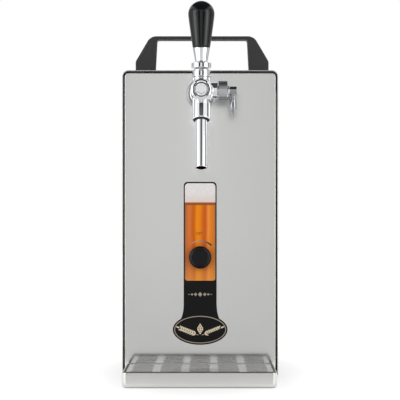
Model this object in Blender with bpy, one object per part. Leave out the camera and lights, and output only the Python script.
"""A compact countertop beer cooler: a stainless casing with a carry handle, a compensator tap, a thermostat
knob, a drip tray with its grate, and the cooling unit, fan and air pump inside.

Metres, +Z up, the front faces -Y. The origin is on the counter, in the middle of the object's footprint.
Distances called "out" run from the front panel's face towards the user, and distances called "in" run from
it to the rear.
"""

from math import acos, asin, cos, pi, radians, sin

import bmesh
import bpy
from mathutils import Vector
from mathutils.geometry import tessellate_polygon

# General clearances and facets
gap = 0.0003
overrun = 0.002
round_sides = 28
small_sides = 16
arc_steps = 4

# Casing, panels and base
body_width = 0.173
body_height = 0.338
body_depth = 0.216
casing_sheet = 0.001
corner_radius = 0.007
panel_sheet = 0.0015
panel_reveal = 0.0016
panel_recess = 0.001
panel_flange = 0.008
panel_low_gap = 0.0006
rear_sheet = 0.0012
base_sheet = 0.0015
base_flange = 0.012
foot_height = 0.003
foot_radius = 0.009
foot_neck_radius = 0.003
foot_head_radius = 0.0045
foot_head_height = 0.002
foot_inset = 0.016
body_top = foot_height + body_height
inner_half_width = body_width / 2 - casing_sheet
rear_in = body_depth - 2 * panel_recess
base_top = foot_height + base_sheet
unit_low = base_top + gap

# Carry handle and its screws
handle_side = 0.008
handle_shoulder_inset = 0.014
handle_top_inset = 0.0244
handle_leg_low_width = 0.0229
handle_leg_high_width = 0.0254
handle_half_width = body_width / 2 - handle_side
handle_half_shoulder = handle_half_width - handle_shoulder_inset
handle_half_top = handle_half_width - handle_top_inset
handle_half_opening_low = handle_half_width - handle_leg_low_width
handle_half_opening_high = handle_half_width - handle_leg_high_width
handle_straight_height = 0.0209
handle_shoulder_height = 0.0448
handle_height = 0.0507
handle_bar = 0.004
handle_depth = 0.018
handle_in = body_depth / 2
handle_x = 0.0016
handle_edge = 0.0015
handle_edge_steps = 2
handle_screw_radius = 0.0025
handle_screw_head_radius = 0.0045
handle_screw_head_height = 0.003
handle_screw_depth = 0.014

# Tap: places
tap_x = 0.0016
tap_drop = 0.0265
tap_z = body_top - tap_drop
valve_out = 0.040
barrel_lean = radians(18)

# Tap: shank, rosette and coupling nut
shank_radius = 0.008
shank_bore = 0.0045
shank_collar_radius = 0.0115
shank_collar_end = 0.0147
shank_tail = 0.026
rosette_radius = 0.017
rosette_rim = 0.0018
rosette_dome_radius = 0.012
rosette_height = 0.0039
shank_nut_radius = 0.013
shank_nut_length = 0.007
coupling_radius = 0.013
coupling_start = 0.006
coupling_end = 0.020
coupling_lip = 0.003
coupling_chamfer = 0.001

# Tap: body
tap_body_radius = 0.0115
tap_flange_radius = 0.011
tap_flange_length = 0.0017
tap_neck_radius = 0.0095
tap_neck_length = 0.0036
tap_body_front = 0.055
chamber_radius = 0.0071
chamber_start = 0.0194
seat_start = 0.027
seat_length = 0.0024
seat_radius = 0.0042
boss_radius = 0.0094
boss_top = 0.015
spigot_radius = 0.0082
spigot_top = 0.0172
barrel_radius = 0.0098
barrel_length = 0.0338
barrel_chamfer = 0.0012
spout_bore = 0.0052
cap_radius = 0.0078
cap_rim_radius = 0.0112
cap_rim_length = 0.002
cap_length = 0.0045
cap_hex_radius = 0.0048
cap_hex_depth = 0.0025
cap_plug_length = 0.002

# Tap: spout tube
spout_radius = 0.0064
spout_wall = 0.001
spout_length = 0.0549
spout_seat = 0.008
spout_clearance = 0.0003

# Tap: lever. Heights are above the ball's centre
pivot_rise = 0.0175
ball_radius = 0.006
ball_clearance = 0.00025
ball_room = 0.0005
ball_seat_depth = 0.0034
passage_radius = 0.0053
passage_flare_radius = 0.0088
collar_radius = 0.0098
collar_shoulder = 0.0035
collar_top = 0.0053
collar_top_radius = 0.009
collar_hole = 0.0056
collar_mouth = 0.0064
stem_radius = 0.0026
stem_top = 0.044
finger_length = 0.0125
finger_radius = 0.0015
finger_ball_radius = 0.0024
skirt_radius = 0.0107
skirt_low = 0.0072
skirt_top = 0.0129
skirt_hollow_radius = 0.01075
skirt_edge = 0.0008
ferrule_low = 0.0134
ferrule_high = 0.0286
ferrule_foot_radius = 0.0058
ferrule_low_radius = 0.0067
ferrule_high_radius = 0.0092
ferrule_foot = 0.001
knob_low = 0.0289
knob_high = 0.0797
knob_low_radius = 0.0093
knob_full_radius = 0.0143
knob_full_share = 0.72
knob_waist_share = 0.9
knob_dome_steps = 6
knob_socket = 0.0165

# Tap: plunger
plunger_disc_radius = 0.0062
plunger_disc_length = 0.0016
plunger_rod_radius = 0.0022
plunger_collar_radius = 0.0068
plunger_groove_half = 0.003
plunger_collar_length = 0.002
plunger_guide_length = 0.007

# Compensator. Distances run along +X from the tap's axis
neck_radius = 0.0092
neck_end = 0.0176
neck_bore = 0.0058
sleeve_radius = 0.0055
sleeve_inner = 0.0032
sleeve_start = 0.0130
ring_radius = 0.01085
ring_start = 0.0179
ring_end = 0.0288
ring_chamfer = 0.0009
ring_flutes = 18
ring_flute_depth = 0.0005
washer_radius = 0.0057
washer_end = 0.0302
spindle_radius = 0.0028
spindle_start = 0.0092
spindle_cone_radius = 0.0045
spindle_cone_length = 0.003
spindle_end = 0.0335
lever_boss_radius = 0.0049
lever_boss_end = 0.0382
lever_drop = 0.0258
lever_neck_radius = 0.0024
lever_neck_drop = 0.0062
lever_bulb_radius = 0.0038
lever_bulb_drop = 0.0148
lever_bulb_steps = 5
lever_screw_radius = 0.0014
lever_screw_head_radius = 0.003
lever_screw_head_height = 0.0014
spindle_thread = 0.002

# Label, badge and thermostat
label_half_width = 0.01825
label_drop = 0.1237
label_corner = 0.0045
label_sheet = 0.0006
badge_z = 0.0535
label_flare_rise = 0.0295
label_top = body_top - label_drop
label_flare_high = badge_z + label_flare_rise
badge_half_width = 0.0303
badge_half_height = 0.0168
badge_join = radians(45)
badge_steps = 20
knob_drop = 0.0837
knob_z = label_top - knob_drop
dial_radius = 0.0124
dial_face_radius = 0.0106
dial_skirt = 0.003
dial_depth = 0.0135
dial_edge = 0.0012
dial_flutes = 14
dial_flute_depth = 0.0006
dial_socket_depth = 0.009
dial_lift = 0.0005
dial_spindle_radius = 0.003
thermostat_half_width = 0.017
thermostat_half_height = 0.020
thermostat_depth = 0.022
thermostat_collar_radius = 0.005

# Drip tray and grate
tray_side = 0.0057
tray_half_width = body_width / 2 - tray_side
tray_depth = 0.100
tray_height = 0.0163
tray_corner = 0.006
tray_edge = 0.0045
tray_edge_steps = 4
tray_sheet = 0.0012
tray_gap = 0.0005
grate_sheet = 0.0015
grate_flange = 0.0035
grate_drop = 0.0006
grate_clearance = 0.0006
grate_ledge = 0.0022
grate_columns = 5
grate_rows = 10
grate_column_rib = 0.0083
grate_side_margin = 0.00855
grate_end_margin = 0.00635
grate_slot_width = 0.0045

# Rear panel and its fittings
grille_slots = 9
grille_inset = 0.008
grille_slot_width = 0.0045
grille_pitch = 0.0115
fitting_side = 0.040
fitting_drop = 0.036
fitting_x = inner_half_width - fitting_side
fitting_z = body_top - fitting_drop
fitting_flange_radius = 0.0105
fitting_flange = 0.004
fitting_radius = 0.0085
fitting_length = 0.018
fitting_bore = 0.0055
fitting_bore_depth = 0.015
fitting_thread_radius = 0.007
fitting_tail_radius = 0.0045
fitting_tail = 0.010
fitting_thread = 0.008
fitting_channel = 0.002
collet_radius = 0.0052
collet_wall = 0.0007
collet_lip_radius = 0.0072
collet_lip = 0.0013
collet_length = 0.008
collet_stroke = 0.0015
gland_side = 0.030
gland_x = gland_side - inner_half_width
gland_z = 0.190
gland_flange_radius = 0.0095
gland_flange = 0.004
gland_dome_radius = 0.007
gland_length = 0.015
gland_bore = 0.0035
gland_thread_radius = 0.006
gland_tail = 0.008
switch_side = 0.030
switch_x = inner_half_width - switch_side
switch_z = 0.190
switch_half_width = 0.0075
switch_half_height = 0.0105
switch_rim = 0.0018
switch_rim_depth = 0.0018
switch_depth = 0.016
switch_wall = 0.0014
rocker_rise = 0.0052
rocker_dip = 0.002
rocker_narrowing = 0.0006
rocker_tilt = radians(8)
rocker_axis_in = 0.004
rocker_side_gap = 0.0004

# Inner shelf, block and insulation
shelf_z = 0.152
shelf_sheet = 0.0015
shelf_flange = 0.009
shelf_start = 0.028
shelf_end = rear_in - panel_flange
insulation_side = 0.013
insulation_start = 0.036
insulation_rear = 0.042
insulation_wall = 0.020
insulation_floor = 0.020
block_head_room = 0.0755
insulation_half_width = inner_half_width - insulation_side
insulation_end = rear_in - insulation_rear
insulation_height = body_top - casing_sheet - shelf_z - block_head_room
lid_height = 0.018
block_port_x = 0.030
block_port_in = 0.030
block_edge = 0.003
tube_radius = 0.0048
tube_hole_clearance = 0.0006
tube_bend = 0.016

# Air pump
pump_side = 0.007
pump_gap = 0.010
pump_forward = 0.002
pump_half_width = 0.020
pump_half_depth = 0.031
pump_height = 0.050
pump_edge = 0.004
pump_x = inner_half_width - pump_side - pump_half_width

# Condenser and fan. The rotor turns on the frame's pin
condenser_side = 0.020
condenser_depth = 0.028
condenser_head_room = 0.0272
condenser_fins = 9
condenser_fin = 0.0016
condenser_groove_depth = 0.004
fan_side = 0.007
fan_lift = 0.0052
fan_head_room = 0.017
fan_rear = 0.0187
fan_depth = 0.025
fan_rim = 0.0035
fan_hub_radius = 0.017
fan_spoke_half = 0.0025
fan_spoke_depth = 0.003
fan_pin_radius = 0.0035
fan_pin_length = 0.016
rotor_hub_radius = 0.0175
rotor_hub_depth = 0.018
rotor_clearance = 0.002
rotor_blades = 7
rotor_blade_thickness = 0.0014
rotor_blade_pitch = radians(32)
rotor_blade_chord = 0.020
rotor_pin_clearance = 0.0004
condenser_half_width = inner_half_width - condenser_side
condenser_start = rear_in - fan_rear - fan_depth - gap - condenser_depth
condenser_height = shelf_z - condenser_head_room - unit_low
room_under_shelf = shelf_z - shelf_flange - fan_head_room - unit_low - fan_lift
fan_half = min(2 * (condenser_half_width - fan_side), room_under_shelf) / 2
grille_z = unit_low + fan_lift + fan_half
fan_bore_radius = fan_half - fan_rim
rotor_radius = fan_bore_radius - rotor_clearance

# Compressor. It is as wide as the room beside the pump and ahead of the condenser lets it be
compressor_side = 0.013
compressor_front = 0.030
compressor_rear = 0.012
compressor_head_room = 0.0392
compressor_dome = 0.022
compressor_shoulder = 0.020
suction_offset = 0.012
compressor_foot_inset = 0.004
compressor_foot_sheet = 0.003
compressor_foot_rise = 0.006
compressor_leg_radius = 0.007
compressor_leg_inset = 0.009
terminal_half_height = 0.018
terminal_half_width = 0.020
terminal_depth = 0.016
terminal_z = 0.085
room_beside_pump = 2 * inner_half_width - compressor_side - pump_gap - 2 * pump_half_width - pump_side
room_before_condenser = condenser_start - compressor_front - compressor_rear
compressor_radius = min(room_beside_pump, room_before_condenser) / 2
compressor_x = compressor_side + compressor_radius - inner_half_width
compressor_in = compressor_front + compressor_radius
compressor_height = shelf_z - compressor_head_room - unit_low
compressor_flat_radius = compressor_radius - compressor_shoulder
compressor_foot_half = compressor_radius - compressor_foot_inset
pump_in = compressor_in - pump_forward

# Pipes and hose
drier_radius = 0.008
drier_low = 0.022
drier_high = 0.108
drier_neck_radius = 0.0035
drier_neck = 0.008
pipe_radius = 0.0032
capillary_radius = 0.0014
pipe_bend = 0.010
pipe_drop = 0.016
pipe_high = shelf_z - pipe_drop
capillary_inset = 0.006
capillary_rear = 0.062
capillary_drop = 0.020
capillary_high = shelf_z - capillary_drop
capillary_x = capillary_inset + insulation_wall - insulation_half_width
capillary_in = insulation_end - capillary_rear
discharge_gap = 0.008
discharge_x = capillary_x + discharge_gap
hose_radius = 0.003
hose_side = 0.013
hose_rear = 0.021
hose_turn_rear = 0.026
hose_z = 0.100
hose_drop = 0.020
hose_x = inner_half_width - hose_side
hose_in = rear_in - hose_rear
hose_turn_in = rear_in - hose_turn_rear
hose_rise_end = fitting_z - hose_drop

# Places
front_reach = tray_gap + tray_depth
rear_reach = rear_in + fitting_length + collet_stroke + collet_lip
panel_y = (front_reach - rear_reach) / 2
rear_face = panel_y + rear_in
casing_rear = rear_face + panel_recess
pivot_z = tap_z + pivot_rise
facing_user = (pi / 2, 0, 0)
facing_rear = (-pi / 2, 0, 0)
facing_right = (0, pi / 2, 0)


def material(name, colour, metallic, roughness):
    """The Principled material of this name, made on first use."""
    found = bpy.data.materials.get(name)
    if found:
        return found
    made = bpy.data.materials.new(name)
    made.use_nodes = True
    shader = made.node_tree.nodes["Principled BSDF"]
    shader.inputs["Base Color"].default_value = (*colour, 1)
    shader.inputs["Metallic"].default_value = metallic
    shader.inputs["Roughness"].default_value = roughness
    return made


def polished_steel():
    return material("polished_steel", (0.60, 0.60, 0.58), 1, 0.12)


def chrome():
    return material("chrome", (0.80, 0.80, 0.82), 1, 0.05)


def black_plastic():
    return material("black_plastic", (0.05, 0.05, 0.052), 0, 0.45)


def gloss_black():
    return material("gloss_black", (0.012, 0.012, 0.013), 0, 0.08)


def label_print():
    return material("label_print", (0.80, 0.30, 0.04), 0, 0.25)


def rubber():
    return material("rubber", (0.03, 0.03, 0.03), 0, 0.8)


def zinc_steel():
    return material("zinc_steel", (0.55, 0.56, 0.58), 1, 0.35)


def cast_aluminium():
    return material("cast_aluminium", (0.62, 0.63, 0.65), 1, 0.4)


def foam_insulation():
    return material("foam_insulation", (0.80, 0.76, 0.62), 0, 0.9)


def copper():
    return material("copper", (0.75, 0.38, 0.24), 1, 0.3)


def black_enamel():
    return material("black_enamel", (0.02, 0.02, 0.022), 0, 0.35)


def grey_plastic():
    return material("grey_plastic", (0.35, 0.36, 0.38), 0, 0.5)


def beer_hose():
    return material("beer_hose", (0.78, 0.80, 0.80), 0, 0.35)


def place(obj, location=(0, 0, 0), rotation=(0, 0, 0), parent=None):
    """Puts an object at a world place, under the empty that holds its joint's axis if it has one."""
    obj.location = location
    obj.rotation_euler = rotation
    if parent:
        obj.parent = parent
        obj.matrix_parent_inverse = parent.matrix_basis.inverted()
    return obj


def joint_empty(name, location):
    empty = bpy.data.objects.new(name, None)
    empty.empty_display_size = foot_radius
    bpy.context.scene.collection.objects.link(empty)
    return place(empty, location)


def finished(name, bm, look):
    """A linked object from a closed bmesh, with its faces turned out and its round faces smooth."""
    bmesh.ops.recalc_face_normals(bm, faces=bm.faces)
    mesh = bpy.data.meshes.new(name)
    bm.to_mesh(mesh)
    bm.free()
    mesh.shade_smooth()
    mesh.set_sharp_from_angle(angle=radians(30))
    if look:
        mesh.materials.append(look)
    obj = bpy.data.objects.new(name, mesh)
    bpy.context.scene.collection.objects.link(obj)
    return obj


def hidden_tool(obj):
    """Marks an object that only shapes others, so that it isn't part of the model."""
    obj.hide_render = True
    obj.display_type = "WIRE"
    return obj


def boolean(obj, tool, operation="DIFFERENCE"):
    modifier = obj.modifiers.new(f"{operation} {tool.name}", "BOOLEAN")
    modifier.object = hidden_tool(tool)
    modifier.operation = operation
    modifier.solver = "EXACT"
    return obj


def cap(bm, rings):
    """Fills one flat outline, less the holes that follow it in the list of vertex rings."""
    corners = [vertex for ring in rings for vertex in ring]
    for triangle in tessellate_polygon([[vertex.co for vertex in ring] for ring in rings]):
        bm.faces.new([corners[index] for index in triangle])


def walls(bm, first, second):
    for index, vertex in enumerate(first):
        after = (index + 1) % len(first)
        bm.faces.new((vertex, first[after], second[after], second[index]))


def stacked(name, look, loops, holes=()):
    """A closed solid through flat loops of as many points each, with the first and the last filled.

    Each hole is a pair of loops: where it meets the first fill and where it meets the last.
    """
    bm = bmesh.new()
    rings = [[bm.verts.new(point) for point in loop] for loop in loops]
    for first, second in zip(rings, rings[1:]):
        walls(bm, first, second)
    starts = [[bm.verts.new(point) for point in pair[0]] for pair in holes]
    ends = [[bm.verts.new(point) for point in pair[1]] for pair in holes]
    for first, second in zip(starts, ends):
        walls(bm, first, second)
    cap(bm, [rings[0]] + starts)
    cap(bm, [rings[-1]] + ends)
    return finished(name, bm, look)


def at_height(outline, height):
    return [(x, y, height) for x, y in outline]


def plate(name, look, outline, thickness, holes=()):
    """A flat plate from z = 0 to the thickness."""
    pairs = [(at_height(hole, 0), at_height(hole, thickness)) for hole in holes]
    return stacked(name, look, [at_height(outline, 0), at_height(outline, thickness)], pairs)


def pan(name, look, outline, inner, sheet, depth, holes=()):
    """A plate with a wall of the sheet's thickness round its edge. Sheet and depth have the same sign."""
    pairs = [(at_height(hole, 0), at_height(hole, sheet)) for hole in holes]
    loops = [at_height(outline, 0), at_height(outline, depth), at_height(inner, depth),
             at_height(inner, sheet)]
    return stacked(name, look, loops, pairs)


def turned(name, look, profile, sides=round_sides):
    """A solid turned about its z axis. The profile is a closed run of (radius, height) points."""
    bm = bmesh.new()
    rings = []
    for radius, height in profile:
        count = sides if radius else 1
        turns = (2 * pi * step / count for step in range(count))
        rings.append([bm.verts.new((radius * cos(turn), radius * sin(turn), height)) for turn in turns])
    for first, second in zip(rings, rings[1:] + rings[:1]):
        for step in range(sides):
            after = (step + 1) % sides
            corners = [first[step % len(first)], first[after % len(first)]]
            corners += [second[after % len(second)], second[step % len(second)]]
            unique = list(dict.fromkeys(corners))
            if len(unique) > 2:
                bm.faces.new(unique)
    return finished(name, bm, look)


def rod_profile(radius, low, high):
    return [(0, low), (radius, low), (radius, high), (0, high)]


def tube_profile(outer, inner, low, high):
    return [(inner, low), (outer, low), (outer, high), (inner, high)]


def arc(centre_x, centre_y, radius, start, end, steps=arc_steps):
    turns = (start + (end - start) * step / steps for step in range(steps + 1))
    return [(centre_x + radius * cos(turn), centre_y + radius * sin(turn)) for turn in turns]


def circle(x, y, radius, sides=small_sides):
    return [(x + radius * cos(2 * pi * step / sides), y + radius * sin(2 * pi * step / sides))
            for step in range(sides)]


def rectangle(x, y, half_x, half_y):
    return [(x - half_x, y - half_y), (x + half_x, y - half_y), (x + half_x, y + half_y),
            (x - half_x, y + half_y)]


def rounded(half_x, half_y, radius, inset=0, steps=arc_steps):
    """A rounded rectangle about the origin, drawn in by the inset."""
    small = max(radius - inset, gap)
    reach_x = half_x - inset - small
    reach_y = half_y - inset - small
    outline = []
    for quarter, (side_x, side_y) in enumerate(((1, 1), (-1, 1), (-1, -1), (1, -1))):
        start = quarter * pi / 2
        outline += arc(side_x * reach_x, side_y * reach_y, small, start, start + pi / 2, steps)
    return outline


def arched(half_x, low, high, radius, inset=0):
    """An outline with square lower corners and rounded upper ones, drawn in by the inset."""
    small = max(radius - inset, gap)
    reach = half_x - inset - small
    top = high - inset
    outline = [(-half_x + inset, low + inset), (half_x - inset, low + inset)]
    outline += arc(reach, top - small, small, 0, pi / 2)
    outline += arc(-reach, top - small, small, pi / 2, pi)
    return outline


def softened(points, bend):
    """A route through 3-D points, with each inner corner turned into a curve as long as the bend."""
    route = [Vector(points[0])]
    for before, corner, after in zip(points, points[1:], points[2:]):
        before, corner, after = Vector(before), Vector(corner), Vector(after)
        reach = min(bend, (before - corner).length / 2, (after - corner).length / 2)
        enter = corner + (before - corner).normalized() * reach
        leave = corner + (after - corner).normalized() * reach
        for step in range(arc_steps + 1):
            share = step / arc_steps
            route.append(enter * (1 - share) ** 2 + corner * 2 * share * (1 - share) + leave * share ** 2)
    route.append(Vector(points[-1]))
    return route


def bent_tube(name, look, points, radius, bend):
    """A round tube as a bevelled curve with filled caps."""
    curve = bpy.data.curves.new(name, "CURVE")
    curve.dimensions = "3D"
    curve.bevel_depth = radius
    curve.bevel_resolution = 2
    curve.use_fill_caps = True
    route = softened(points, bend)
    spline = curve.splines.new("POLY")
    spline.points.add(len(route) - 1)
    for point, position in zip(spline.points, route):
        point.co = (*position, 1)
    curve.materials.append(look)
    obj = bpy.data.objects.new(name, curve)
    bpy.context.scene.collection.objects.link(obj)
    return obj


def eased(start, corner, end):
    """A quadratic curve between two outline points, pulled towards the corner."""
    points = []
    for step in range(arc_steps + 1):
        share = step / arc_steps
        weights = ((1 - share) ** 2, 2 * share * (1 - share), share ** 2)
        points.append(tuple(sum(weight * point[side] for weight, point in zip(weights, (start, corner, end)))
                            for side in range(2)))
    return points


def handle_screw_x(side):
    return handle_x + side * (handle_half_width + handle_half_opening_low) / 2


def casing_wrap():
    outer = arched(body_width / 2, foot_height, body_top, corner_radius)
    inner = arched(inner_half_width, foot_height, body_top - casing_sheet, corner_radius - casing_sheet)
    profile = outer[1:] + outer[:1] + (inner[1:] + inner[:1])[::-1]
    casing = place(plate("casing_wrap", polished_steel(), profile, body_depth), (0, casing_rear, 0),
                   facing_user)
    for side, word in ((-1, "left"), (1, "right")):
        reach = rod_profile(handle_screw_radius + gap, -casing_sheet - overrun, overrun)
        cutter = turned(f"cutter casing screw {word}", None, reach, small_sides)
        boolean(casing, place(cutter, (handle_screw_x(side), panel_y + handle_in, body_top)))
    return casing


def front_panel():
    top = body_top - casing_sheet - panel_reveal
    size = (inner_half_width - panel_reveal, foot_height + panel_low_gap, top)
    radius = corner_radius - casing_sheet - panel_reveal
    holes = [circle(tap_x, tap_z, shank_radius + gap), circle(0, knob_z, thermostat_collar_radius + gap)]
    panel = pan("front_panel", polished_steel(), arched(*size, radius), arched(*size, radius, panel_sheet),
                -panel_sheet, -panel_flange, holes)
    return place(panel, (0, panel_y, 0), facing_user)


def grille_heights():
    first = grille_z - grille_pitch * (grille_slots - 1) / 2
    return [first + grille_pitch * row for row in range(grille_slots)]


def rear_panel():
    size = (inner_half_width - gap, foot_height + panel_low_gap, body_top - casing_sheet - gap)
    radius = corner_radius - casing_sheet
    holes = [rectangle(0, height, fan_half - grille_inset, grille_slot_width / 2)
             for height in grille_heights()]
    holes += [circle(side * fitting_x, fitting_z, fitting_thread_radius + gap) for side in (-1, 1)]
    holes.append(circle(gland_x, gland_z, gland_thread_radius + gap))
    holes.append(rectangle(switch_x, switch_z, switch_half_width + gap, switch_half_height + gap))
    panel = pan("rear_panel", zinc_steel(), arched(*size, radius), arched(*size, radius, rear_sheet),
                rear_sheet, panel_flange, holes)
    return place(panel, (0, rear_face, 0), facing_user)


def foot_places():
    front = panel_y + panel_flange + foot_inset
    rear = rear_face - panel_flange - foot_inset
    side = inner_half_width - foot_inset
    return {"front_left": (-side, front), "front_right": (side, front), "rear_left": (-side, rear),
            "rear_right": (side, rear)}


def base_plate():
    front = panel_y + panel_flange + gap
    rear = rear_face - panel_flange - gap
    half_x = inner_half_width - gap
    half_y = (rear - front) / 2
    middle = (front + rear) / 2
    holes = [circle(x, y - middle, foot_neck_radius + gap) for x, y in foot_places().values()]
    inner = rectangle(0, 0, half_x - base_sheet, half_y - base_sheet)
    base = pan("base_plate", zinc_steel(), rectangle(0, 0, half_x, half_y), inner, base_sheet, base_flange,
               holes)
    return place(base, (0, middle, foot_height))


def feet():
    clear_low = foot_height - gap
    clear_high = base_top + gap
    profile = [(0, 0), (foot_radius, 0), (foot_radius, clear_low), (foot_neck_radius, clear_low),
               (foot_neck_radius, clear_high), (foot_head_radius, clear_high),
               (foot_neck_radius, clear_high + foot_head_height), (0, clear_high + foot_head_height)]
    for word, (x, y) in foot_places().items():
        place(turned(f"foot_{word}", rubber(), profile, small_sides), (x, y, 0))


def carry_handle():
    right = [(handle_half_width, 0), (handle_half_width, handle_straight_height)]
    slope = (handle_half_width - handle_half_shoulder) / (handle_shoulder_height - handle_straight_height)
    corner = (handle_half_shoulder - slope * (handle_height - handle_shoulder_height), handle_height)
    right += eased((handle_half_shoulder, handle_shoulder_height), corner, (handle_half_top, handle_height))
    outer = right + [(-x, z) for x, z in right[::-1]]
    under = handle_height - handle_bar
    inner = [(-handle_half_opening_low, 0), (-handle_half_opening_high, under),
             (handle_half_opening_high, under), (handle_half_opening_low, 0)]
    handle = plate("carry_handle", black_plastic(), outer + inner, handle_depth)
    bevel = handle.modifiers.new("rounded edges", "BEVEL")
    bevel.width = handle_edge
    bevel.segments = handle_edge_steps
    bevel.limit_method = "ANGLE"
    place(handle, (handle_x, panel_y + handle_in + handle_depth / 2, body_top + gap), facing_user)
    for side, word in ((-1, "left"), (1, "right")):
        where = (handle_screw_x(side), panel_y + handle_in, body_top)
        socket = rod_profile(handle_screw_radius + gap, -overrun, handle_screw_depth + 2 * gap)
        boolean(handle, place(turned(f"cutter handle socket {word}", None, socket, small_sides), where))
        low = -casing_sheet - gap
        head_low = low - handle_screw_head_height
        screw = [(0, head_low), (handle_screw_head_radius, head_low), (handle_screw_head_radius, low),
                 (handle_screw_radius, low), (handle_screw_radius, handle_screw_depth),
                 (0, handle_screw_depth)]
        place(turned(f"handle_screw_{word}", zinc_steel(), screw, small_sides), where)


def along_tap(obj, out=0):
    """Places a turned piece on the tap's axis, with its own z axis pointing at the user."""
    return place(obj, (tap_x, panel_y - out, tap_z), facing_user)


def ball_points(height, radius, start, end, steps=arc_steps):
    """Profile points round a ball, by the angle above its equator."""
    turns = (start + (end - start) * step / steps for step in range(steps + 1))
    return [(radius * cos(turn), height + radius * sin(turn)) for turn in turns]


def tap_rosette():
    hole = shank_radius + gap
    middle = (rosette_radius + rosette_dome_radius) / 2
    dome = eased((rosette_radius, rosette_rim), (middle, rosette_height),
                 (rosette_dome_radius, rosette_height))
    profile = [(hole, gap), (rosette_radius, gap), *dome, (hole, rosette_height)]
    return along_tap(turned("tap_rosette", chrome(), profile))


def tap_shank():
    start = rosette_height + gap
    profile = [(shank_bore, -shank_tail), (shank_radius, -shank_tail), (shank_radius, start),
               (shank_collar_radius, start), (shank_collar_radius, shank_collar_end),
               (shank_bore, shank_collar_end)]
    return along_tap(turned("tap_shank", chrome(), profile))


def shank_nut():
    hexagon = circle(0, 0, shank_nut_radius, 6)
    nut = plate("shank_nut", zinc_steel(), hexagon, -shank_nut_length, [circle(0, 0, shank_radius + gap)])
    return along_tap(nut, -panel_sheet - gap)


def tap_coupling_nut():
    inner = shank_collar_radius + gap
    lip = tap_neck_radius + gap
    edge = coupling_radius - coupling_chamfer
    lip_start = coupling_end - coupling_lip
    profile = [(inner, coupling_start), (edge, coupling_start),
               (coupling_radius, coupling_start + coupling_chamfer),
               (coupling_radius, coupling_end - coupling_chamfer), (edge, coupling_end), (lip, coupling_end),
               (lip, lip_start), (inner, lip_start)]
    return along_tap(turned("tap_coupling_nut", chrome(), profile))


def tap_body():
    start = shank_collar_end + gap
    flange_end = start + tap_flange_length
    neck_stop = flange_end + tap_neck_length
    outer = [(0, start), (tap_flange_radius, start), (tap_flange_radius, flange_end),
             (tap_neck_radius, flange_end), (tap_neck_radius, neck_stop), (tap_body_radius, neck_stop),
             (tap_body_radius, tap_body_front), (0, tap_body_front)]
    body = along_tap(turned("tap_body", chrome(), outer))
    centre = (tap_x, panel_y - valve_out, tap_z)
    lean = (-barrel_lean, 0, 0)
    boss = [(0, 0), (boss_radius, 0), (boss_radius, boss_top), (spigot_radius, boss_top),
            (spigot_radius, spigot_top), (0, spigot_top)]
    boolean(body, place(turned("tool lever boss", None, boss), centre), "UNION")
    rim = barrel_radius - barrel_chamfer
    barrel = [(0, 0), (barrel_radius, 0), (barrel_radius, barrel_chamfer - barrel_length),
              (rim, -barrel_length), (0, -barrel_length)]
    boolean(body, place(turned("tool barrel", None, barrel), centre, lean), "UNION")
    neck = rod_profile(neck_radius, 0, neck_end)
    boolean(body, place(turned("tool compensator neck", None, neck), centre, facing_right), "UNION")
    seat_end = seat_start + seat_length
    bore = [(0, start - overrun), (shank_bore, start - overrun), (shank_bore, chamber_start),
            (chamber_radius, chamber_start), (chamber_radius, seat_start), (seat_radius, seat_start),
            (seat_radius, seat_end), (chamber_radius, seat_end), (chamber_radius, tap_body_front + overrun),
            (0, tap_body_front + overrun)]
    boolean(body, along_tap(turned("cutter valve bore", None, bore, small_sides)))
    low = chamber_radius - pivot_rise - overrun
    room = ball_radius + ball_room
    passage = [(0, low), (passage_flare_radius, low), (passage_radius, -ball_seat_depth),
               (room, -ball_seat_depth), (room, overrun), (0, overrun)]
    boolean(body, place(turned("cutter lever passage", None, passage, small_sides),
                        (tap_x, panel_y - valve_out, pivot_z)))
    socket = spout_radius + spout_clearance
    outlet = [(0, 0), (spout_bore, 0), (spout_bore, spout_seat - barrel_length),
              (socket, spout_seat - barrel_length), (socket, -barrel_length - overrun),
              (0, -barrel_length - overrun)]
    boolean(body, place(turned("cutter outlet", None, outlet, small_sides), centre, lean))
    side = rod_profile(neck_bore, 0, neck_end + overrun)
    boolean(body, place(turned("cutter compensator bore", None, side, small_sides), centre, facing_right))
    return body


def tap_front_cap():
    plug = chamber_radius - gap
    rim_end = gap + cap_rim_length
    profile = [(0, -cap_plug_length), (plug, -cap_plug_length), (plug, gap), (cap_rim_radius, gap),
               (cap_rim_radius, rim_end), (cap_radius, rim_end), (cap_radius, cap_length), (0, cap_length)]
    front = along_tap(turned("tap_front_cap", chrome(), profile), tap_body_front)
    hexagon = circle(0, 0, cap_hex_radius, 6)
    return boolean(front, along_tap(plate("cutter cap hexagon", None, hexagon, cap_hex_depth + overrun),
                                    tap_body_front + cap_length - cap_hex_depth))


def spout_tube():
    top = spout_seat - barrel_length - gap
    profile = tube_profile(spout_radius, spout_radius - spout_wall, -barrel_length - spout_length, top)
    tube = turned("spout_tube", polished_steel(), profile)
    return place(tube, (tap_x, panel_y - valve_out, tap_z), (-barrel_lean, 0, 0))


def valve_plunger():
    disc_end = seat_start - gap
    collar_end = valve_out - plunger_groove_half
    collar_start = collar_end - plunger_collar_length
    guide_start = valve_out + plunger_groove_half
    guide_end = guide_start + plunger_guide_length
    profile = [(0, disc_end - plunger_disc_length), (plunger_disc_radius, disc_end - plunger_disc_length),
               (plunger_disc_radius, disc_end), (plunger_rod_radius, disc_end),
               (plunger_rod_radius, collar_start), (plunger_collar_radius, collar_start),
               (plunger_collar_radius, collar_end), (plunger_rod_radius, collar_end),
               (plunger_rod_radius, guide_start), (plunger_collar_radius, guide_start),
               (plunger_collar_radius, guide_end), (0, guide_end)]
    return along_tap(turned("valve_plunger", polished_steel(), profile, small_sides))


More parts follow.
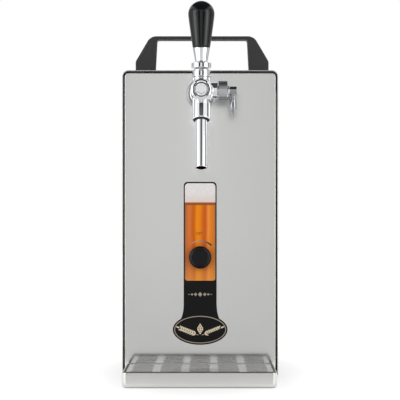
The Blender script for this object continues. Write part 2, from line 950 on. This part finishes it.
def lever_collar_nut(centre):
    seat = ball_radius + ball_clearance
    thread = spigot_radius + gap
    low = boss_top + gap - pivot_rise
    cup = ball_points(0, seat, acos(collar_hole / seat), 0)
    profile = [(thread, low), (collar_radius, low), (collar_radius, collar_shoulder),
               (collar_top_radius, collar_top), (collar_mouth, collar_top), *cup, (thread, 0)]
    return place(turned("lever_collar_nut", chrome(), profile), centre)


def lever_stem():
    finger_ball = ball_points(-finger_length, finger_ball_radius, -pi / 2,
                              acos(finger_radius / finger_ball_radius))
    ball = ball_points(0, ball_radius, -acos(finger_radius / ball_radius), acos(stem_radius / ball_radius))
    lowest = (0, -finger_length - finger_ball_radius)
    profile = [lowest, *finger_ball[1:], *ball, (stem_radius, stem_top), (0, stem_top)]
    return turned("lever_stem", chrome(), profile, small_sides)


def lever_skirt():
    hole = stem_radius + gap
    hollow = ball_points(0, skirt_hollow_radius, acos(hole / skirt_hollow_radius),
                         asin(skirt_low / skirt_hollow_radius))
    profile = [(skirt_radius, skirt_low), (skirt_radius, skirt_top - skirt_edge),
               (skirt_radius - skirt_edge, skirt_top), (hole, skirt_top), *hollow]
    return turned("lever_skirt", chrome(), profile)


def lever_ferrule():
    hole = stem_radius + gap
    profile = [(hole, ferrule_low), (ferrule_foot_radius, ferrule_low),
               (ferrule_low_radius, ferrule_low + ferrule_foot), (ferrule_high_radius, ferrule_high),
               (hole, ferrule_high)]
    return turned("lever_ferrule", chrome(), profile)


def lever_knob():
    hole = stem_radius + gap
    full = knob_low + (knob_high - knob_low) * knob_full_share
    waist = knob_low + (full - knob_low) * knob_waist_share
    side = eased((knob_low_radius, knob_low), (knob_full_radius, waist), (knob_full_radius, full))
    turns = [pi / 2 * step / knob_dome_steps for step in range(1, knob_dome_steps)]
    dome = [(knob_full_radius * cos(turn), full + (knob_high - full) * sin(turn)) for turn in turns]
    profile = [(0, knob_low + knob_socket), (hole, knob_low + knob_socket), (hole, knob_low), *side, *dome,
               (0, knob_high)]
    return turned("lever_knob", gloss_black(), profile)


def tap_lever():
    centre = (tap_x, panel_y - valve_out, pivot_z)
    lever_collar_nut(centre)
    pivot = joint_empty("tap_lever_pivot", centre)
    for make in (lever_stem, lever_skirt, lever_ferrule, lever_knob):
        place(make(), centre, parent=pivot)


def fluted(radius, depth, count):
    """A round outline with shallow grooves, four points to a groove."""
    points = []
    for step in range(4 * count):
        reach = radius - depth if step % 4 > 1 else radius
        turn = 2 * pi * step / (4 * count)
        points.append((reach * cos(turn), reach * sin(turn)))
    return points


def compensator_ring():
    hole = circle(0, 0, sleeve_radius + gap)
    full = fluted(ring_radius, ring_flute_depth, ring_flutes)
    small = fluted(ring_radius - ring_chamfer, ring_flute_depth, ring_flutes)
    loops = [at_height(small, ring_start), at_height(full, ring_start + ring_chamfer),
             at_height(full, ring_end - ring_chamfer), at_height(small, ring_end)]
    through = (at_height(hole, ring_start), at_height(hole, ring_end))
    return stacked("compensator_ring", chrome(), loops, [through])


def compensator_sleeve():
    flange = ring_end + gap
    profile = [(sleeve_inner, sleeve_start), (sleeve_radius, sleeve_start), (sleeve_radius, flange),
               (washer_radius, flange), (washer_radius, washer_end), (sleeve_inner, washer_end)]
    return turned("compensator_sleeve", chrome(), profile, small_sides)


def compensator_spindle():
    hole = lever_screw_radius + gap
    stop = spindle_end - spindle_thread
    cone_end = spindle_start + spindle_cone_length
    profile = [(0, spindle_start), (spindle_cone_radius, spindle_start), (spindle_radius, cone_end),
               (spindle_radius, spindle_end), (hole, spindle_end), (hole, stop), (0, stop)]
    return turned("compensator_spindle", polished_steel(), profile, small_sides)


def compensator_lever():
    socket = spindle_radius + gap
    start = washer_end + gap
    socket_end = spindle_end + gap
    head = lever_screw_head_radius + gap
    recess = lever_boss_end - lever_screw_head_height - gap
    hole = lever_screw_radius + gap
    profile = [(socket, start), (lever_boss_radius, start), (lever_boss_radius, lever_boss_end),
               (head, lever_boss_end), (head, recess), (hole, recess), (hole, socket_end),
               (socket, socket_end)]
    lever = turned("compensator_lever", chrome(), profile, small_sides)
    root = (socket + lever_boss_radius) / 2
    turns = [pi / 2 * step / lever_bulb_steps for step in range(1, lever_bulb_steps)]
    tip = [(lever_bulb_radius * cos(turn), -lever_bulb_drop - (lever_drop - lever_bulb_drop) * sin(turn))
           for turn in turns]
    arm = [(0, -root), (lever_neck_radius, -root), (lever_neck_radius, -lever_neck_drop),
           (lever_bulb_radius, -lever_bulb_drop), *tip, (0, -lever_drop)]
    return lever, turned("tool lever arm", None, arm, small_sides), (start + lever_boss_end) / 2


def compensator_screw():
    seat = lever_boss_end - lever_screw_head_height
    tip = spindle_end - spindle_thread + gap
    profile = [(0, tip), (lever_screw_radius, tip),
               (lever_screw_radius, seat), (lever_screw_head_radius, seat),
               (lever_screw_head_radius, lever_boss_end), (0, lever_boss_end)]
    return turned("compensator_screw", polished_steel(), profile, small_sides)


def compensator():
    centre = (tap_x, panel_y - valve_out, tap_z)
    for make in (compensator_sleeve, compensator_ring, compensator_spindle, compensator_screw):
        place(make(), centre, facing_right)
    lever, arm, middle = compensator_lever()
    place(lever, centre, facing_right)
    boolean(lever, place(arm, (tap_x + middle, panel_y - valve_out, tap_z)), "UNION")


def label_outline():
    reach = label_half_width - label_corner
    level = label_top - label_corner
    outline = arc(reach, level, label_corner, 0, pi / 2) + arc(-reach, level, label_corner, pi / 2, pi)
    low = badge_z + badge_half_height * sin(badge_join)
    join = badge_half_width * cos(badge_join)
    flare_low = low + badge_half_height * sin(badge_join) / 2
    flare = eased((label_half_width, label_flare_high), (label_half_width, flare_low), (join, low))
    outline += [(-x, z) for x, z in flare[:-1]]
    start = pi - badge_join
    turns = (start + (pi + 2 * badge_join) * step / badge_steps for step in range(badge_steps + 1))
    outline += [(badge_half_width * cos(turn), badge_z + badge_half_height * sin(turn)) for turn in turns]
    return outline + flare[-2::-1]


def label_plate():
    hole = circle(0, knob_z, dial_spindle_radius + gap)
    label = plate("label_plate", label_print(), label_outline(), label_sheet, [hole])
    return place(label, (0, panel_y - gap, 0), facing_user)


def thermostat():
    centre = (0, panel_y, knob_z)
    back = -panel_sheet - gap
    outline = rectangle(0, 0, thermostat_half_width, thermostat_half_height)
    body = plate("thermostat_body", grey_plastic(), outline, -thermostat_depth)
    place(body, (0, panel_y - back, knob_z), facing_user)
    collar = rod_profile(thermostat_collar_radius, back - overrun, 0)
    boolean(body, place(turned("tool thermostat collar", None, collar, small_sides), centre, facing_user),
            "UNION")
    shaft_low = back - thermostat_depth / 2
    bore = rod_profile(dial_spindle_radius + gap, shaft_low - gap, overrun)
    boolean(body, place(turned("cutter thermostat bore", None, bore, small_sides), centre, facing_user))
    start = gap + label_sheet + dial_lift
    spindle = rod_profile(dial_spindle_radius, shaft_low, start + dial_socket_depth)
    place(turned("thermostat_spindle", zinc_steel(), spindle, small_sides), centre, facing_user)
    skirt = fluted(dial_radius, 0, dial_flutes)
    grip = fluted(dial_face_radius, dial_flute_depth, dial_flutes)
    face = fluted(dial_face_radius - dial_edge, 0, dial_flutes)
    loops = [at_height(skirt, start), at_height(skirt, start + dial_skirt),
             at_height(grip, start + dial_skirt), at_height(grip, start + dial_depth - dial_edge),
             at_height(face, start + dial_depth)]
    knob = place(stacked("thermostat_knob", gloss_black(), loops), centre, facing_user)
    socket = rod_profile(dial_spindle_radius + gap, start - overrun, start + dial_socket_depth + gap)
    boolean(knob, place(turned("cutter dial socket", None, socket, small_sides), centre, facing_user))


def tray_y():
    return panel_y - tray_gap - tray_depth / 2


def drip_tray():
    def ring(inset, height):
        return at_height(rounded(tray_half_width, tray_depth / 2, tray_corner, inset), height)

    turns = [pi / 2 * step / tray_edge_steps for step in range(tray_edge_steps + 1)]
    loops = [ring(tray_edge * (1 - sin(turn)), tray_edge * (1 - cos(turn))) for turn in turns]
    ledge_z = tray_height - grate_drop - grate_flange - gap
    lower = tray_sheet + grate_ledge
    loops += [ring(0, tray_height), ring(tray_sheet, tray_height), ring(tray_sheet, ledge_z),
              ring(lower, ledge_z), ring(lower, tray_edge), ring(lower + tray_edge - tray_sheet, tray_sheet)]
    return place(stacked("drip_tray", polished_steel(), loops), (0, tray_y(), 0))


def drip_grate():
    drawn_in = tray_sheet + grate_clearance
    outer = rounded(tray_half_width, tray_depth / 2, tray_corner, drawn_in)
    inner = rounded(tray_half_width, tray_depth / 2, tray_corner, drawn_in + grate_sheet)
    slotted_width = 2 * (tray_half_width - drawn_in - grate_side_margin)
    slotted_depth = tray_depth - 2 * (drawn_in + grate_end_margin)
    slot_length = (slotted_width - grate_column_rib * (grate_columns - 1)) / grate_columns
    row_pitch = (slotted_depth - grate_slot_width) / (grate_rows - 1)
    slots = []
    for column in range(grate_columns):
        x = (slot_length + grate_column_rib) * (column - (grate_columns - 1) / 2)
        for row in range(grate_rows):
            y = row_pitch * (row - (grate_rows - 1) / 2)
            slots.append(rectangle(x, y, slot_length / 2, grate_slot_width / 2))
    grate = pan("drip_grate", polished_steel(), outer, inner, -grate_sheet, -grate_flange, slots)
    return place(grate, (0, tray_y(), tray_height - grate_drop))


def push_fit(word, x):
    mouth = fitting_length - fitting_bore_depth
    profile = [(fitting_channel, -fitting_tail), (fitting_tail_radius, -fitting_tail),
               (fitting_tail_radius, -fitting_thread), (fitting_thread_radius, -fitting_thread),
               (fitting_thread_radius, gap), (fitting_flange_radius, gap),
               (fitting_flange_radius, fitting_flange), (fitting_radius, fitting_flange),
               (fitting_radius, fitting_length), (fitting_bore, fitting_length), (fitting_bore, mouth),
               (fitting_channel, mouth)]
    centre = (x, rear_face, fitting_z)
    place(turned(f"{word}_fitting", grey_plastic(), profile, small_sides), centre, facing_rear)
    lip = fitting_length + collet_stroke
    inner = collet_radius - collet_wall
    collet = [(inner, lip - collet_length), (collet_radius, lip - collet_length), (collet_radius, lip),
              (collet_lip_radius, lip), (collet_lip_radius, lip + collet_lip), (inner, lip + collet_lip)]
    place(turned(f"{word}_collet", black_plastic(), collet, small_sides), centre, facing_rear)


def cable_gland():
    edge = gland_length - gland_flange / 2
    nose = (gland_bore + gland_dome_radius) / 2
    profile = [(gland_bore, -gland_tail), (gland_thread_radius, -gland_tail), (gland_thread_radius, gap),
               (gland_flange_radius, gap), (gland_flange_radius, gland_flange),
               (gland_dome_radius, gland_flange), (gland_dome_radius, edge), (nose, gland_length),
               (gland_bore, gland_length)]
    return place(turned("cable_gland", black_plastic(), profile, small_sides), (gland_x, rear_face, gland_z),
                 facing_rear)


def pump_switch():
    def ring(grow, height):
        return at_height(rectangle(0, 0, switch_half_width + grow, switch_half_height + grow), height)

    top = gap + switch_rim_depth
    loops = [ring(0, -switch_depth), ring(0, gap), ring(switch_rim, gap), ring(switch_rim, top),
             ring(-switch_wall, top), ring(-switch_wall, switch_wall - switch_depth)]
    place(stacked("pump_switch_frame", black_plastic(), loops), (switch_x, rear_face, switch_z), facing_rear)
    reach = switch_half_height - switch_wall - rocker_side_gap
    end = reach - rocker_narrowing
    shape = [(-end, rocker_rise), (0, rocker_rise - rocker_dip), (end, rocker_rise)]
    shape += arc(0, 0, reach, 0, -pi, 2 * arc_steps)
    tilted = [(x * cos(rocker_tilt) - y * sin(rocker_tilt), x * sin(rocker_tilt) + y * cos(rocker_tilt))
              for x, y in shape]
    half = switch_half_width - switch_wall - rocker_side_gap
    rocker = plate("pump_switch_rocker", gloss_black(), tilted, 2 * half)
    return place(rocker, (switch_x + half, rear_face - rocker_axis_in, switch_z), (0, -pi / 2, 0))


def cold_box_middle():
    return panel_y + (insulation_start + insulation_end) / 2


def suction_place():
    return compressor_x + suction_offset, panel_y + compressor_in


def inner_shelf():
    half_x = inner_half_width - gap
    half_y = (shelf_end - shelf_start) / 2
    middle = panel_y + (shelf_start + shelf_end) / 2
    suction_x, suction_y = suction_place()
    holes = [circle(suction_x, suction_y - middle, pipe_radius + tube_hole_clearance),
             circle(capillary_x, panel_y + capillary_in - middle, capillary_radius + tube_hole_clearance),
             circle(hose_x, panel_y + hose_in - middle, hose_radius + tube_hole_clearance)]
    inner = rectangle(0, 0, half_x - shelf_sheet, half_y - shelf_sheet)
    shelf = pan("inner_shelf", zinc_steel(), rectangle(0, 0, half_x, half_y), inner, -shelf_sheet,
                -shelf_flange, holes)
    return place(shelf, (0, middle, shelf_z))


def cold_box():
    half_y = (insulation_end - insulation_start) / 2
    middle = cold_box_middle()
    suction_x, suction_y = suction_place()
    holes = [circle(suction_x, suction_y - middle, pipe_radius + tube_hole_clearance),
             circle(capillary_x, panel_y + capillary_in - middle, capillary_radius + tube_hole_clearance)]
    outline = rectangle(0, 0, insulation_half_width, half_y)
    inner = rectangle(0, 0, insulation_half_width - insulation_wall, half_y - insulation_wall)
    box = pan("block_insulation", foam_insulation(), outline, inner, insulation_floor, insulation_height,
              holes)
    place(box, (0, middle, shelf_z + gap))
    room = insulation_wall + gap
    block_outline = rounded(insulation_half_width - room, half_y - room, block_edge)
    place(plate("cooling_block", cast_aluminium(), block_outline, block_top() - block_low()),
          (0, middle, block_low()))
    ports = [circle(x, y - middle, tube_radius + tube_hole_clearance) for x, y in block_ports()]
    place(plate("insulation_lid", foam_insulation(), outline, lid_height, ports),
          (0, middle, block_top() + 2 * gap))


def block_low():
    return shelf_z + insulation_floor + 2 * gap


def block_top():
    return shelf_z + insulation_height


def block_ports():
    return ((block_port_x, panel_y + insulation_start + block_port_in),
            (-block_port_x, panel_y + insulation_end - block_port_in))


def beer_tubes():
    (out_x, out_y), (in_x, in_y) = block_ports()
    start = panel_y + shank_tail + gap
    halfway = (start + out_y) / 2
    low = block_top() + gap
    route = [(tap_x, start, tap_z), (tap_x, halfway, tap_z), (out_x, out_y, tap_z), (out_x, out_y, low)]
    bent_tube("beer_out_tube", beer_hose(), route, tube_radius, tube_bend)
    start = rear_face - fitting_tail - gap
    halfway = (start + in_y) / 2
    route = [(-fitting_x, start, fitting_z), (-fitting_x, halfway, fitting_z), (in_x, in_y, fitting_z),
             (in_x, in_y, low)]
    bent_tube("beer_in_tube", beer_hose(), route, tube_radius, tube_bend)


def compressor():
    centre = (compressor_x, panel_y + compressor_in, unit_low)
    dome_start = compressor_height - compressor_dome
    dome = eased((compressor_radius, dome_start), (compressor_radius, compressor_height),
                 (compressor_flat_radius, compressor_height))
    profile = [(0, compressor_foot_rise), (compressor_radius, compressor_foot_rise), *dome,
               (0, compressor_height)]
    shell = place(turned("compressor", black_enamel(), profile), centre)
    foot = rounded(compressor_foot_half, compressor_foot_half, compressor_leg_radius)
    tool = plate("tool compressor foot", None, foot, compressor_foot_sheet)
    foot_low = centre[2] + compressor_foot_rise - compressor_foot_sheet / 2
    boolean(shell, place(tool, (centre[0], centre[1], foot_low)), "UNION")
    reach = compressor_foot_half - compressor_leg_inset
    for side_x in (-1, 1):
        for side_y in (-1, 1):
            profile = rod_profile(compressor_leg_radius, 0, compressor_foot_rise)
            leg = turned(f"tool leg {side_x} {side_y}", None, profile, small_sides)
            where = (centre[0] + side_x * reach, centre[1] + side_y * reach, centre[2])
            boolean(shell, place(leg, where), "UNION")
    box = plate("terminal_box", black_plastic(), rectangle(0, 0, terminal_half_width, terminal_half_height),
                terminal_depth)
    place(box, (compressor_x + compressor_radius + gap, centre[1], terminal_z), facing_right)


def condenser_middle():
    return panel_y + condenser_start + condenser_depth / 2


def condenser():
    half_y = condenser_depth / 2
    pitch = 2 * condenser_half_width / condenser_fins
    outline = [(condenser_half_width, half_y), (-condenser_half_width, half_y)]
    for fin in range(condenser_fins):
        left = -condenser_half_width + fin * pitch
        groove = left + condenser_fin
        outline += [(left, -half_y), (groove, -half_y), (groove, condenser_groove_depth - half_y),
                    (left + pitch, condenser_groove_depth - half_y)]
    core = plate("condenser", cast_aluminium(), outline, condenser_height)
    place(core, (0, condenser_middle(), unit_low))
    neck_low = drier_low - drier_neck
    neck_high = drier_high + drier_neck
    profile = [(0, neck_low), (drier_neck_radius, neck_low), (drier_radius, drier_low),
               (drier_radius, drier_high), (drier_neck_radius, neck_high), (0, neck_high)]
    x = -condenser_half_width - gap - drier_radius
    place(turned("filter_drier", copper(), profile, small_sides), (x, condenser_middle(), 0))
    return x, neck_high


def pipes(drier_x, drier_top):
    top = unit_low + compressor_height + gap
    suction_x, y = suction_place()
    cold = block_low() - gap
    route = [(suction_x, y, top), (suction_x, y, (top + cold) / 2), (suction_x, y, cold)]
    bent_tube("suction_pipe", copper(), route, pipe_radius, pipe_bend)
    x = discharge_x
    condenser_top = unit_low + condenser_height + gap
    route = [(x, y, top), (x, y, pipe_high), (x, condenser_middle(), pipe_high),
             (x, condenser_middle(), condenser_top)]
    bent_tube("discharge_pipe", copper(), route, pipe_radius, pipe_bend)
    turn_y = panel_y + capillary_in
    route = [(drier_x, condenser_middle(), drier_top + gap), (drier_x, condenser_middle(), capillary_high),
             (capillary_x, turn_y, capillary_high), (capillary_x, turn_y, cold)]
    bent_tube("capillary_tube", copper(), route, capillary_radius, pipe_bend)


def fan():
    centre = (0, rear_face - fan_rear, grille_z)
    frame = plate("fan_frame", black_plastic(), rounded(fan_half, fan_half, pump_edge), fan_depth,
                  [circle(0, 0, fan_bore_radius, round_sides)])
    place(frame, centre, facing_user)
    reach = fan_bore_radius + overrun
    for word, outline in (("level", rectangle(0, 0, reach, fan_spoke_half)),
                          ("upright", rectangle(0, 0, fan_spoke_half, reach))):
        spoke = plate(f"tool spoke {word}", None, outline, fan_spoke_depth)
        boolean(frame, place(spoke, centre, facing_user), "UNION")
    hub = [(0, 0), (fan_hub_radius, 0), (fan_hub_radius, fan_spoke_depth), (fan_pin_radius, fan_spoke_depth),
           (fan_pin_radius, fan_spoke_depth + fan_pin_length), (0, fan_spoke_depth + fan_pin_length)]
    boolean(frame, place(turned("tool fan hub", None, hub, small_sides), centre, facing_user), "UNION")
    start = fan_spoke_depth + gap
    stop = start + fan_pin_length
    hole = fan_pin_radius + rotor_pin_clearance
    profile = [(0, stop), (hole, stop), (hole, start), (rotor_hub_radius, start),
               (rotor_hub_radius, start + rotor_hub_depth), (0, start + rotor_hub_depth)]
    rotor = place(turned("fan_rotor", black_plastic(), profile, small_sides), centre, facing_user)
    middle = start + rotor_hub_depth / 2
    root = rotor_hub_radius - rotor_blade_thickness
    for blade in range(rotor_blades):
        tool = rotor_blade(f"tool blade {blade}", 2 * pi * blade / rotor_blades, root, middle)
        boolean(rotor, place(tool, centre, facing_user), "UNION")


def rotor_blade(name, turn, root, middle):
    """A flat blade at this turn about z, pitched about its own radius."""
    loops = []
    for reach in (root, rotor_radius):
        loop = []
        for side, face in ((-1, -1), (1, -1), (1, 1), (-1, 1)):
            along = side * rotor_blade_chord / 2
            across = face * rotor_blade_thickness / 2
            tangent = along * cos(rotor_blade_pitch) - across * sin(rotor_blade_pitch)
            height = middle + along * sin(rotor_blade_pitch) + across * cos(rotor_blade_pitch)
            loop.append((reach * cos(turn) - tangent * sin(turn), reach * sin(turn) + tangent * cos(turn),
                         height))
        loops.append(loop)
    return stacked(name, None, loops)


def air_pump():
    outline = rounded(pump_half_width, pump_half_depth, pump_edge)
    pump = plate("air_pump", grey_plastic(), outline, pump_height)
    place(pump, (pump_x, panel_y + pump_in, unit_low))
    start_y = panel_y + pump_in
    rise_y = panel_y + hose_in
    end_y = rear_face - fitting_tail - gap
    route = [(hose_x, start_y, unit_low + pump_height + gap), (hose_x, start_y, hose_z),
             (hose_x, rise_y, hose_z), (hose_x, rise_y, hose_rise_end),
             (fitting_x, panel_y + hose_turn_in, fitting_z), (fitting_x, end_y, fitting_z)]
    bent_tube("air_hose", beer_hose(), route, hose_radius, tube_bend)


def main():
    for obj in list(bpy.data.objects):
        bpy.data.objects.remove(obj, do_unlink=True)
    casing_wrap()
    front_panel()
    rear_panel()
    base_plate()
    feet()
    carry_handle()
    tap_rosette()
    tap_shank()
    shank_nut()
    tap_coupling_nut()
    tap_body()
    tap_front_cap()
    spout_tube()
    valve_plunger()
    tap_lever()
    compensator()
    label_plate()
    thermostat()
    drip_tray()
    drip_grate()
    push_fit("beer_inlet", -fitting_x)
    push_fit("air_outlet", fitting_x)
    cable_gland()
    pump_switch()
    inner_shelf()
    cold_box()
    beer_tubes()
    compressor()
    pipes(*condenser())
    fan()
    air_pump()


if __name__ == "__main__":
    main()
